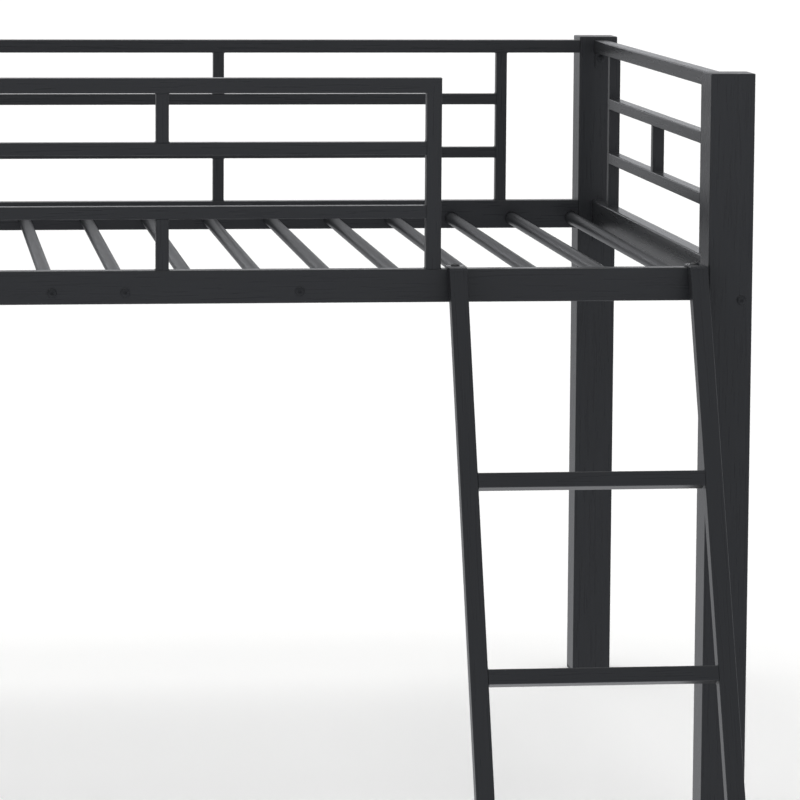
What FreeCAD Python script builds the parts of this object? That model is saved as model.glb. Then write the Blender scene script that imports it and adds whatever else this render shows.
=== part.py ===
"""A raised single metal bed frame with guard rails all round and a sloping ladder.

The bed is drawn lying along X, with the ladder in front of it (toward -Y) at its right-hand end.
Inside this file a depth is counted from the front faces of the front posts toward the back, and
X is counted from the middle of the bed. The last step moves every piece so that the origin is at
the floor, in the middle of the box round the whole object.
"""
import FreeCAD, Part
import math
import os
from collections import namedtuple

Vector = FreeCAD.Vector

# ---------------------------------------------------------------- driving dimensions, millimetres

# A closed steel tube: its two outer sizes, its wall and the outer radius of its corners.
Section = namedtuple("Section", "a b wall radius")

BED_LENGTH = 2050.0                 # over the outer faces of the posts
BED_WIDTH = 1047.0                  # over the outer faces of the posts
BED_HEIGHT = 970.0                  # floor to the top of the post caps

POST = Section(57.0, 57.0, 1.5, 2.5)
SIDE_RAIL = Section(20.0, 42.0, 1.5, 2.0)          # across its depth, up its height
GUARD_TUBE = Section(19.0, 19.0, 1.2, 1.6)         # outer tubes of the guards
BAR_TUBE = Section(16.0, 16.0, 1.2, 1.3)           # inner rails and upright bars
STRINGER = Section(22.5, 20.0, 1.5, 1.8)
RUNG = Section(19.0, 19.0, 1.2, 1.6)

TOP_CAP_THICKNESS = 2.5             # what stands on the end of the post
TOP_CAP_SKIRT = 12.0                # what goes down inside it
FOOT_CAP_THICKNESS = 5.0
FOOT_CAP_SKIRT = 16.0
CAP_WALL = 2.0
CAP_EDGE = 1.0                      # rounding of the caps' outer edges
PLUG_CLEARANCE = 0.1                # between a plug and the inside of its tube

END_PLANE_INSET = 25.5              # post's outer end face to the middle plane of an end frame
GUARD_DROP = 5.0                    # post top down to the top of the guard tubes
GUARD_HEIGHT = 240.5                # top of the side rail up to the top of the guards
TOP_GAP = 61.5                      # clear gap under the top guard tube
UPRIGHT_GAP = 110.0                 # clear gap from a post to the nearest upright of a guard

LEFT_OPENING = 266.0                # left-hand end of the bed to the front guard
LADDER_GUARD_GAP = 8.0              # between the ladder's left side and the front guard

SLAT_COUNT = 22
SLAT_DIAMETER = 18.0
SLAT_WALL = 1.0
END_SLAT_GAP = 1.5                  # clear gap from a post's inner face to the nearest slat
SLAT_REACH = 10.0                   # how far a loose slat goes in past the side rail's inner wall
SLAT_FLOOR_GAP = 4.3                # slat's underside above the inside floor of the side rail
SLAT_HOLE_CLEARANCE = 0.3           # on the radius; the slat lies on the bottom of its hole
TIE_SLATS = (8, 9)                  # slats bolted to both side rails, counted from either end
SPARE_BOLT_BAY = 5                  # the bay between slats that holds the single rail bolt
SPARE_BOLT_SHARE = 0.6              # how far across that bay it stands

LADDER_LEAN = 24.0                  # degrees from upright
LADDER_POST_GAP = 5.0               # between the right front post and the ladder
LADDER_CLEAR_WIDTH = 284.5          # between the stringers
LADDER_RAIL_CLEARANCE = 0.2         # between the stringers' tops and the side rail
TOP_STEP = 239.5                    # side rail's top down to the upper rung's top edge
RUNG_PITCH = 226.0
LADDER_FOOT_THICKNESS = 5.0
LADDER_FOOT_SKIRT = 25.0

HOOK_THICKNESS = 3.0
HOOK_LIP_GAP = 6.2                  # from the end of a hook's lip down to the top of the slats
HOOK_CLEARANCE = 0.2

BOLT_DIAMETER = 6.0
BOLT_LENGTH = 16.0
BOLT_HEAD_DIAMETER = 12.0
BOLT_HEAD_HEIGHT = 2.4
BOLT_HEAD_EDGE = 0.9
SOCKET_SIZE = 4.0                   # across the flats of the hexagon
SOCKET_DEPTH = 1.8
BOLT_CLEARANCE = 0.4                # a bolt's hole, over its diameter
RAIL_BOLT_TIP_GAP = 2.5             # from the tip of a side rail's single bolt to the rail's inner wall
HOOK_BOLT_TIP_GAP = 5.2             # from the tip of a hook's bolt down to the top of the slats
HOOK_NUT_TIP_GAP = 4.2              # the same for its nut

NUT_WALL = 1.5                      # rivet nut's sleeve, round the bolt
NUT_BULGE = 1.0                     # how far its collar stands out behind the wall
NUT_COLLAR_LENGTH = 3.0
NUT_LENGTH = 14.0

SLAT_PLUG_LENGTH = 22.0

BRACKET_THICKNESS = 2.5
BRACKET_IN_RAIL = 30.0              # length of the bracket welded inside the side rail
BRACKET_WALL_GAP = 0.2              # between the bracket and the post's long outer wall
BRACKET_TIP_GAP = 2.0               # between its tip and the post's outer end wall
BRACKET_DROP = 10.5                 # how far its tongue reaches below the side rail
BRACKET_EDGE_GAP = 1.7              # between the bracket and the rail's inside floor and ceiling
BRACKET_SLOT_CLEARANCE = 0.4
POST_BOLT_INSET = 14.5              # post's outer end face to the bolt in its long face

TAB_THICKNESS = 2.5
TAB_HEIGHT = 22.0
TAB_WIDTH = 16.0
TAB_CORNER = 3.0
TAB_BOLT_DROP = 9.0                 # rail's underside down to the bolt through the tab

CUT_OVERSHOOT = 1.0                 # how far a cutting tool runs past the faces it cuts
SAME = 1e-6                         # lengths closer than this are equal

# ---------------------------------------------------------------- places that follow from them

HALF_LENGTH = BED_LENGTH / 2
POST_INNER_X = HALF_LENGTH - POST.a
BACK_FACE = BED_WIDTH - POST.b                      # depth of the back posts' inner faces
END_PLANE_X = HALF_LENGTH - END_PLANE_INSET

GUARD_TOP = BED_HEIGHT - GUARD_DROP
RAIL_TOP = GUARD_TOP - GUARD_HEIGHT
RAIL_UNDERSIDE = RAIL_TOP - SIDE_RAIL.b
RAIL_MIDDLE = (RAIL_TOP + RAIL_UNDERSIDE) / 2
FRONT_RAIL_DEPTH = SIDE_RAIL.a / 2
BACK_RAIL_DEPTH = BACK_FACE + SIDE_RAIL.a / 2

TOP_TUBE_Z = GUARD_TOP - GUARD_TUBE.b / 2
UPPER_BAR_TOP = GUARD_TOP - GUARD_TUBE.b - TOP_GAP
LOWER_GAP = (UPPER_BAR_TOP - 2 * BAR_TUBE.b - RAIL_TOP) / 2
UPPER_BAR_Z = UPPER_BAR_TOP - BAR_TUBE.b / 2
LOWER_BAR_Z = UPPER_BAR_Z - BAR_TUBE.b - LOWER_GAP
TOP_BAND = (UPPER_BAR_TOP, GUARD_TOP - GUARD_TUBE.b)
MIDDLE_BAND = (LOWER_BAR_Z + BAR_TUBE.b / 2, UPPER_BAR_Z - BAR_TUBE.b / 2)
BOTTOM_BAND = (RAIL_TOP, LOWER_BAR_Z - BAR_TUBE.b / 2)

SLAT_Z = RAIL_UNDERSIDE + SIDE_RAIL.wall + SLAT_FLOOR_GAP + SLAT_DIAMETER / 2
SLAT_TOP = SLAT_Z + SLAT_DIAMETER / 2
END_SLAT_INSET = POST.a + END_SLAT_GAP + SLAT_DIAMETER / 2
SLAT_PITCH = (BED_LENGTH - 2 * END_SLAT_INSET) / (SLAT_COUNT - 1)
TIED = sorted({number for place in TIE_SLATS for number in (place, SLAT_COUNT - 1 - place)})
TIE_SLAT_DEPTHS = (SIDE_RAIL.wall, BACK_FACE + SIDE_RAIL.a - SIDE_RAIL.wall)
LOOSE_SLAT_DEPTHS = (SIDE_RAIL.a - SIDE_RAIL.wall - SLAT_REACH, BACK_FACE + SIDE_RAIL.wall + SLAT_REACH)

LEAN = math.radians(LADDER_LEAN)
STRINGER_CUT = STRINGER.b / math.cos(LEAN)          # a stringer's depth, measured level
STRINGER_TOP_DEPTH = -LADDER_RAIL_CLEARANCE - STRINGER_CUT / 2
LADDER_REACH = RAIL_TOP * math.tan(LEAN) + LADDER_RAIL_CLEARANCE + STRINGER_CUT
MIDDLE_DEPTH = (BED_WIDTH + BOLT_HEAD_HEIGHT - LADDER_REACH) / 2
RIGHT_STRINGER_X = POST_INNER_X - LADDER_POST_GAP - STRINGER.a / 2
LEFT_STRINGER_X = RIGHT_STRINGER_X - STRINGER.a - LADDER_CLEAR_WIDTH

# The back guard is flush with the back side rail's inner face.
BACK_GUARD_DEPTH = BACK_FACE + GUARD_TUBE.a / 2
BACK_UPRIGHT_X = POST_INNER_X - UPRIGHT_GAP - BAR_TUBE.a / 2

# The front guard stands in the middle of the front side rail, beside the ladder.
FRONT_RIGHT_X = LEFT_STRINGER_X - STRINGER.a / 2 - LADDER_GUARD_GAP - GUARD_TUBE.a / 2
FRONT_LEFT_X = -HALF_LENGTH + LEFT_OPENING + GUARD_TUBE.a / 2

BOLT_HOLE = BOLT_DIAMETER + BOLT_CLEARANCE
NUT_BODY = BOLT_DIAMETER + 2 * NUT_WALL
NUT_COLLAR = NUT_BODY + 2 * NUT_BULGE
RAIL_BOLT_LENGTH = SIDE_RAIL.a - SIDE_RAIL.wall - RAIL_BOLT_TIP_GAP
HOOK_BOLT_LENGTH = RAIL_TOP + HOOK_THICKNESS - SLAT_TOP - HOOK_BOLT_TIP_GAP
HOOK_NUT_LENGTH = RAIL_TOP - SLAT_TOP - HOOK_NUT_TIP_GAP

AXES = {"x": Vector(1, 0, 0), "y": Vector(0, 1, 0), "z": Vector(0, 0, 1)}
SIDES = (("right", 1), ("left", -1))


# ---------------------------------------------------------------- shapes that are used again

def place(axis, along, across, up):
    """A point given along one axis and across the other two, in X, Y, Z order."""
    if axis == "x":
        return Vector(along, across, up)
    if axis == "y":
        return Vector(across, along, up)
    return Vector(across, up, along)


def block(axis, span, centre, sizes, radius=0.0):
    """A solid bar along an axis, with its four long edges rounded."""
    low, high = sorted(span)
    start = place(axis, low, centre[0] - sizes[0] / 2, centre[1] - sizes[1] / 2)
    size = place(axis, high - low, sizes[0], sizes[1])
    solid = Part.makeBox(size.x, size.y, size.z, start)
    if radius <= 0:
        return solid
    direction = AXES[axis]
    long_edges = []
    for edge in solid.Edges:
        run = edge.Vertexes[1].Point - edge.Vertexes[0].Point
        if run.normalize().cross(direction).Length < SAME:
            long_edges.append(edge)
    return solid.makeFillet(radius, long_edges)


def tube(axis, span, centre, section):
    """A tube along an axis, solid if its wall is 0; a and b lie across the other two axes."""
    outer = block(axis, span, centre, (section.a, section.b), section.radius)
    if section.wall == 0:
        return outer
    inner_sizes = (section.a - 2 * section.wall, section.b - 2 * section.wall)
    inner = block(axis, span, centre, inner_sizes, section.radius - section.wall)
    return outer.cut(inner)


def rod(axis, span, centre, diameter):
    """A round bar along an axis."""
    start = place(axis, span[0], centre[0], centre[1])
    length = span[1] - span[0]
    direction = AXES[axis] if length > 0 else AXES[axis] * -1
    return Part.makeCylinder(diameter / 2, abs(length), start, direction)


def cut_all(shape, tools):
    for tool in tools:
        shape = shape.cut(tool)
    return shape


def edges_at(shape, axis, value):
    """The edges that lie in the plane where the axis has this value."""
    found = []
    for edge in shape.Edges:
        if all(abs(getattr(vertex.Point, axis) - value) < SAME for vertex in edge.Vertexes):
            found.append(edge)
    return found


# ---------------------------------------------------------------- bolts, and what they screw into

# A seat is where a bolt goes in: the middle of the face under its head, the way its head looks
# and how long the bolt is.
Seat = namedtuple("Seat", "point axis sense length")


def along_seat(seat, low, high, diameter):
    """A round bar on a seat's axis, from low to high millimetres beneath its face."""
    outward = AXES[seat.axis] * seat.sense
    start = seat.point - outward * low
    return Part.makeCylinder(diameter / 2, high - low, start, outward * -1)


def through_wall(seat, depth, wall, diameter):
    """The tool that makes a seat's hole in a wall whose outer face is depth millimetres beneath it."""
    return along_seat(seat, depth - CUT_OVERSHOOT, depth + wall + CUT_OVERSHOOT, diameter)


def button_bolt(seat):
    """A low button-head bolt with a hexagon socket."""
    head = Part.makeCylinder(BOLT_HEAD_DIAMETER / 2, BOLT_HEAD_HEIGHT)
    head = head.makeChamfer(BOLT_HEAD_EDGE, edges_at(head, "z", BOLT_HEAD_HEIGHT))
    corner = SOCKET_SIZE / math.sqrt(3)
    points = [Vector(corner * math.cos(k * math.pi / 3), corner * math.sin(k * math.pi / 3),
                     BOLT_HEAD_HEIGHT - SOCKET_DEPTH) for k in range(7)]
    socket = Part.Face(Part.makePolygon(points)).extrude(Vector(0, 0, SOCKET_DEPTH))
    shank = Part.makeCylinder(BOLT_DIAMETER / 2, seat.length, Vector(0, 0, -seat.length))
    bolt = head.fuse(shank).cut(socket).removeSplitter()
    turn = FreeCAD.Rotation(Vector(0, 0, 1), AXES[seat.axis] * seat.sense)
    bolt.Placement = FreeCAD.Placement(seat.point, turn)
    return bolt


def rivet_nut(seat, depth, wall, length):
    """A sleeve nut in a wall whose outer face is depth millimetres beneath the seat."""
    sleeve = along_seat(seat, depth, depth + length, NUT_BODY)
    collar = along_seat(seat, depth + wall, depth + wall + NUT_COLLAR_LENGTH, NUT_COLLAR)
    thread = along_seat(seat, 0, depth + length + CUT_OVERSHOOT, BOLT_DIAMETER)
    return sleeve.fuse(collar).removeSplitter().cut(thread)


def slat_x(number):
    return -HALF_LENGTH + END_SLAT_INSET + number * SLAT_PITCH


def rail_seats(numbers, length):
    """Seats on the outer faces of both side rails, in line with these slats."""
    seats = []
    for number in numbers:
        seats.append(Seat(Vector(slat_x(number), 0, SLAT_Z), "y", -1, length))
        seats.append(Seat(Vector(slat_x(number), BACK_FACE + SIDE_RAIL.a, SLAT_Z), "y", 1, length))
    return seats


def tie_seats():
    """Bolts through the side rails into the ends of the tied slats."""
    return rail_seats(TIED, BOLT_LENGTH)


def spare_seats():
    """The single bolts in the side rails, one toward each end of the bed."""
    bay = SPARE_BOLT_BAY + SPARE_BOLT_SHARE
    return rail_seats([bay, SLAT_COUNT - 1 - bay], RAIL_BOLT_LENGTH)


def post_seats():
    """Bolts in the long outer faces of the posts, into the side rails' brackets."""
    seats = []
    for _, side in SIDES:
        x = side * (HALF_LENGTH - POST_BOLT_INSET)
        seats.append(Seat(Vector(x, 0, RAIL_UNDERSIDE), "y", -1, BOLT_LENGTH))
        seats.append(Seat(Vector(x, BED_WIDTH, RAIL_UNDERSIDE), "y", 1, BOLT_LENGTH))
    return seats


def tab_seats():
    """Bolts through the end frames' tabs, into the inner faces of the posts."""
    seats = []
    for _, side in SIDES:
        for underside in (GUARD_TOP - GUARD_TUBE.b, RAIL_UNDERSIDE):
            z = underside - TAB_BOLT_DROP
            x = side * END_PLANE_X
            seats.append(Seat(Vector(x, POST.b + TAB_THICKNESS, z), "y", 1, BOLT_LENGTH))
            seats.append(Seat(Vector(x, BACK_FACE - TAB_THICKNESS, z), "y", -1, BOLT_LENGTH))
    return seats


def hook_seats():
    """Bolts down through the ladder's hooks, into the top of the front side rail."""
    top = RAIL_TOP + HOOK_THICKNESS
    return [Seat(Vector(x, FRONT_RAIL_DEPTH, top), "z", 1, HOOK_BOLT_LENGTH)
            for x in (LEFT_STRINGER_X, RIGHT_STRINGER_X)]


# ---------------------------------------------------------------- posts and their caps

def bracket_gap():
    """From a post's long outer face to the bracket, clear of both the post's and the rail's wall."""
    return max(POST.wall, SIDE_RAIL.wall) + BRACKET_WALL_GAP


def bracket_depth(back):
    """The middle depth of a bracket."""
    inset = bracket_gap() + BRACKET_THICKNESS / 2
    return BED_WIDTH - inset if back else inset


def bracket_heights():
    low = RAIL_UNDERSIDE - BRACKET_DROP
    high = RAIL_TOP - SIDE_RAIL.wall - BRACKET_EDGE_GAP
    return low, high


def post(side, back):
    depth = BACK_FACE + POST.b / 2 if back else POST.b / 2
    centre = (side * (HALF_LENGTH - POST.a / 2), depth)
    body = tube("z", (FOOT_CAP_THICKNESS, BED_HEIGHT - TOP_CAP_THICKNESS), centre, POST)
    low, high = bracket_heights()
    wall = (side * (POST_INNER_X - CUT_OVERSHOOT), side * (POST_INNER_X + POST.wall + CUT_OVERSHOOT))
    slot_sizes = (BRACKET_THICKNESS + 2 * BRACKET_SLOT_CLEARANCE, high - low + 2 * BRACKET_SLOT_CLEARANCE)
    tools = [block("x", wall, (bracket_depth(back), (low + high) / 2), slot_sizes)]
    for seat in post_seats():
        tools.append(through_wall(seat, 0, POST.wall, BOLT_HOLE))
    for seat in tab_seats():
        tools.append(through_wall(seat, TAB_THICKNESS, POST.wall, NUT_BODY))
    return cut_all(body, tools)


def post_cap(centre, z, thickness, skirt, sense):
    """A cap as wide as the post, with a hollow skirt inside it; sense is +1 at the top."""
    plate = block("z", (z, z + sense * thickness), centre, (POST.a, POST.b), POST.radius)
    plate = plate.makeChamfer(CAP_EDGE, edges_at(plate, "z", z + sense * thickness))
    outer_a = POST.a - 2 * POST.wall - 2 * PLUG_CLEARANCE
    outer_b = POST.b - 2 * POST.wall - 2 * PLUG_CLEARANCE
    inner_radius = POST.radius - POST.wall
    skirt_section = Section(outer_a, outer_b, CAP_WALL, inner_radius)
    return plate.fuse(tube("z", (z, z - sense * skirt), centre, skirt_section)).removeSplitter()


def post_caps(z, thickness, skirt, sense):
    caps = []
    for _, side in SIDES:
        for depth in (POST.b / 2, BACK_FACE + POST.b / 2):
            centre = (side * (HALF_LENGTH - POST.a / 2), depth)
            caps.append(post_cap(centre, z, thickness, skirt, sense))
    return caps


# ---------------------------------------------------------------- side rails, brackets and slats

def side_rail(back):
    """A side rail between two posts, with a row of holes for the slats in its inner wall."""
    depth = BACK_RAIL_DEPTH if back else FRONT_RAIL_DEPTH
    rail = tube("x", (-POST_INNER_X, POST_INNER_X), (depth, RAIL_MIDDLE), SIDE_RAIL)
    inner_face = BACK_FACE if back else SIDE_RAIL.a
    inward = 1 if back else -1
    hole = SLAT_DIAMETER + 2 * SLAT_HOLE_CLEARANCE
    tools = []
    for number in range(SLAT_COUNT):
        span = (inner_face - inward * CUT_OVERSHOOT, inner_face + inward * (SIDE_RAIL.wall + CUT_OVERSHOOT))
        tools.append(rod("y", span, (slat_x(number), SLAT_Z + SLAT_HOLE_CLEARANCE), hole))
    for seat in tie_seats():
        tools.append(through_wall(seat, 0, SIDE_RAIL.wall, BOLT_HOLE))
    for seat in spare_seats():
        tools.append(through_wall(seat, 0, SIDE_RAIL.wall, NUT_BODY))
    if not back:
        for seat in hook_seats():
            tools.append(through_wall(seat, HOOK_THICKNESS, SIDE_RAIL.wall, NUT_BODY))
    return rail.cut(Part.makeCompound(tools))


def side_rail_bracket(side, back):
    """A plate welded inside the end of a side rail, whose tongue drops into the post."""
    low, high = bracket_heights()
    depth = bracket_depth(back)
    inside_floor = RAIL_UNDERSIDE + SIDE_RAIL.wall + BRACKET_EDGE_GAP
    in_rail = (side * (POST_INNER_X - BRACKET_IN_RAIL), side * POST_INNER_X)
    in_post = (side * POST_INNER_X, side * (HALF_LENGTH - POST.wall - BRACKET_TIP_GAP))
    root = block("x", in_rail, (depth, (inside_floor + high) / 2), (BRACKET_THICKNESS, high - inside_floor))
    tongue = block("x", in_post, (depth, (low + high) / 2), (BRACKET_THICKNESS, high - low))
    plate = root.fuse(tongue).removeSplitter()
    return cut_all(plate, [through_wall(seat, bracket_gap(), BRACKET_THICKNESS, NUT_BODY)
                           for seat in post_seats()])


def slat(number):
    """A round tube across the bed; a tie slat reaches the side rails' outer walls."""
    span = TIE_SLAT_DEPTHS if number in TIED else LOOSE_SLAT_DEPTHS
    centre = (slat_x(number), SLAT_Z)
    return rod("y", span, centre, SLAT_DIAMETER).cut(rod("y", span, centre, SLAT_DIAMETER - 2 * SLAT_WALL))


def slat_plugs():
    """Threaded plugs in both ends of each slat that is bolted to the side rails."""
    plugs = []
    for seat in tie_seats():
        end = SIDE_RAIL.wall + SLAT_PLUG_LENGTH
        body = along_seat(seat, SIDE_RAIL.wall, end, SLAT_DIAMETER - 2 * SLAT_WALL)
        plugs.append(body.cut(along_seat(seat, 0, end + CUT_OVERSHOOT, BOLT_DIAMETER)))
    return plugs


# ---------------------------------------------------------------- end frames

def end_rail(side):
    """The deck's own rail across an end, as deep as a side rail."""
    return tube("y", (POST.b, BACK_FACE), (side * END_PLANE_X, RAIL_MIDDLE), SIDE_RAIL)


def end_top_rail(side):
    return tube("y", (POST.b, BACK_FACE), (side * END_PLANE_X, TOP_TUBE_Z), GUARD_TUBE)


def end_upright_spans():
    """The depth ranges of an end frame's two uprights."""
    front = POST.b + UPRIGHT_GAP
    back = BACK_FACE - UPRIGHT_GAP
    return (front, front + BAR_TUBE.b), (back - BAR_TUBE.b, back)


def end_uprights(side):
    heights = (RAIL_TOP, GUARD_TOP - GUARD_TUBE.b)
    return [tube("z", heights, (side * END_PLANE_X, sum(span) / 2), BAR_TUBE)
            for span in end_upright_spans()]


def end_mid_rails(side):
    front, back = end_upright_spans()
    return [tube("y", (front[1], back[0]), (side * END_PLANE_X, z), BAR_TUBE)
            for z in (UPPER_BAR_Z, LOWER_BAR_Z)]


def end_centre_bar(side):
    return tube("z", MIDDLE_BAND, (side * END_PLANE_X, BED_WIDTH / 2), BAR_TUBE)


def end_panel_tabs():
    """Flat tabs under the ends of the end frames' rails, each bolted to its post."""
    tabs = []
    for seat in tab_seats():
        top = seat.point.z + TAB_BOLT_DROP
        span = (seat.point.y, seat.point.y - seat.sense * TAB_THICKNESS)
        tab = block("z", (top - TAB_HEIGHT, top), (seat.point.x, sum(span) / 2), (TAB_WIDTH, TAB_THICKNESS))
        lower = [edge for edge in edges_at(tab, "z", top - TAB_HEIGHT)
                 if abs(edge.Length - TAB_THICKNESS) < SAME]
        tabs.append(tab.makeFillet(TAB_CORNER, lower).cut(through_wall(seat, 0, TAB_THICKNESS, BOLT_HOLE)))
    return tabs


# ---------------------------------------------------------------- guards along the sides

def quarter_bars(left_x, right_x, depth):
    """Bars at the quarter points of the top and bottom bands, and one mid-way between them."""
    centre = (left_x + right_x) / 2
    quarter = (right_x - left_x) / 4
    bars = []
    for x in (centre - quarter, centre + quarter):
        for band in (TOP_BAND, BOTTOM_BAND):
            bars.append(tube("z", band, (x, depth), BAR_TUBE))
    bars.append(tube("z", MIDDLE_BAND, (centre, depth), BAR_TUBE))
    return bars


def back_guard_top_rail():
    return tube("x", (-POST_INNER_X, POST_INNER_X), (BACK_GUARD_DEPTH, TOP_TUBE_Z), GUARD_TUBE)


def back_guard_mid_rails():
    reach = BACK_UPRIGHT_X - BAR_TUBE.a / 2
    return [tube("x", (-reach, reach), (BACK_GUARD_DEPTH, z), BAR_TUBE)
            for z in (UPPER_BAR_Z, LOWER_BAR_Z)]


def back_guard_uprights():
    heights = (RAIL_TOP, GUARD_TOP - GUARD_TUBE.b)
    return [tube("z", heights, (side * BACK_UPRIGHT_X, BACK_GUARD_DEPTH), BAR_TUBE)
            for _, side in SIDES]


def mitre(side, x, rise):
    """A wedge on one side of the 45 degree joint at a top corner; rise is +1 for the side above it."""
    reach = 2 * GUARD_TUBE.b
    corner = Vector(x + side * GUARD_TUBE.a / 2, FRONT_RAIL_DEPTH - GUARD_TUBE.a, GUARD_TOP)
    points = [corner + Vector(side * reach, 0, reach), corner + Vector(-side * reach, 0, -reach),
              corner + Vector(-side * rise * reach, 0, rise * reach)]
    return Part.Face(Part.makePolygon(points + points[:1])).extrude(Vector(0, 2 * GUARD_TUBE.a, 0))


def front_guard_top_rail():
    reach = GUARD_TUBE.a / 2
    span = (FRONT_LEFT_X - reach, FRONT_RIGHT_X + reach)
    rail = tube("x", span, (FRONT_RAIL_DEPTH, TOP_TUBE_Z), GUARD_TUBE)
    return cut_all(rail, [mitre(1, FRONT_RIGHT_X, -1), mitre(-1, FRONT_LEFT_X, -1)])


def front_guard_uprights():
    uprights = []
    for side, x in ((1, FRONT_RIGHT_X), (-1, FRONT_LEFT_X)):
        upright = tube("z", (RAIL_TOP, GUARD_TOP), (x, FRONT_RAIL_DEPTH), GUARD_TUBE)
        uprights.append(upright.cut(mitre(side, x, 1)))
    return uprights


def front_guard_mid_rail(z):
    reach = GUARD_TUBE.a / 2
    return tube("x", (FRONT_LEFT_X + reach, FRONT_RIGHT_X - reach), (FRONT_RAIL_DEPTH, z), BAR_TUBE)


# ---------------------------------------------------------------- ladder

def ladder_depth(z):
    """The depth of the stringers' middle line at a height."""
    return STRINGER_TOP_DEPTH - (RAIL_TOP - z) * math.tan(LEAN)


def leaning(x, z_low, z_high, section):
    """A tube that leans as the ladder does, cut level at both ends."""
    half = (z_high - z_low) / math.cos(LEAN) + section.b
    shape = tube("z", (-half, half), (0, 0), section)
    shape.rotate(Vector(0, 0, 0), Vector(1, 0, 0), -LADDER_LEAN)
    middle = (z_low + z_high) / 2
    shape.translate(Vector(x, ladder_depth(middle), middle))
    reach = 2 * shape.BoundBox.DiagonalLength
    slab = block("z", (z_low, z_high), (x, ladder_depth(middle)), (reach, reach))
    return shape.common(slab)


def ladder_rung(top_edge):
    """A square tube between the stringers, turned with them, its front face in line with theirs."""
    left = LEFT_STRINGER_X + STRINGER.a / 2
    right = RIGHT_STRINGER_X - STRINGER.a / 2
    inset = (STRINGER.b - RUNG.b) / 2
    rung = tube("x", (left, right), (-inset, 0), RUNG)
    rung.rotate(Vector(0, 0, 0), Vector(1, 0, 0), -LADDER_LEAN)
    # The rung's front top edge lies at this height on the stringers' front faces.
    rise = RUNG.b / 2 * math.cos(LEAN) + STRINGER.b / 2 * math.sin(LEAN)
    middle = top_edge - rise
    rung.translate(Vector(0, ladder_depth(middle), middle))
    return rung


def ladder_hook(x):
    """A plate on a stringer's top that lies over the side rail and turns down behind it."""
    front = -LADDER_RAIL_CLEARANCE - STRINGER_CUT
    back = SIDE_RAIL.a + HOOK_CLEARANCE + HOOK_THICKNESS
    plate = block("y", (front, back), (x, RAIL_TOP + HOOK_THICKNESS / 2), (STRINGER.a, HOOK_THICKNESS))
    lip_end = SLAT_TOP + HOOK_LIP_GAP
    lip = block("z", (lip_end, RAIL_TOP + HOOK_THICKNESS), (x, back - HOOK_THICKNESS / 2),
                (STRINGER.a, HOOK_THICKNESS))
    hook = plate.fuse(lip).removeSplitter()
    return cut_all(hook, [through_wall(seat, 0, HOOK_THICKNESS, BOLT_HOLE) for seat in hook_seats()])


def ladder_foot(x):
    """A pad under a stringer, with a plug that goes up inside it."""
    pad = leaning(x, 0, LADDER_FOOT_THICKNESS, Section(STRINGER.a, STRINGER.b, 0, STRINGER.radius))
    trim = 2 * (STRINGER.wall + PLUG_CLEARANCE)
    plug_section = Section(STRINGER.a - trim, STRINGER.b - trim, 0, 0)
    plug = leaning(x, LADDER_FOOT_THICKNESS / 2, LADDER_FOOT_THICKNESS + LADDER_FOOT_SKIRT, plug_section)
    return pad.fuse(plug).removeSplitter()


# ---------------------------------------------------------------- the nodes

def all_bolts():
    return tie_seats() + spare_seats() + post_seats() + tab_seats() + hook_seats()


def all_nuts():
    nuts = []
    for seat in spare_seats():
        nuts.append(rivet_nut(seat, 0, SIDE_RAIL.wall, NUT_LENGTH))
    for seat in post_seats():
        nuts.append(rivet_nut(seat, bracket_gap(), BRACKET_THICKNESS, NUT_LENGTH))
    for seat in tab_seats():
        nuts.append(rivet_nut(seat, TAB_THICKNESS, POST.wall, NUT_LENGTH))
    for seat in hook_seats():
        nuts.append(rivet_nut(seat, HOOK_THICKNESS, SIDE_RAIL.wall, HOOK_NUT_LENGTH))
    return nuts


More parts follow.
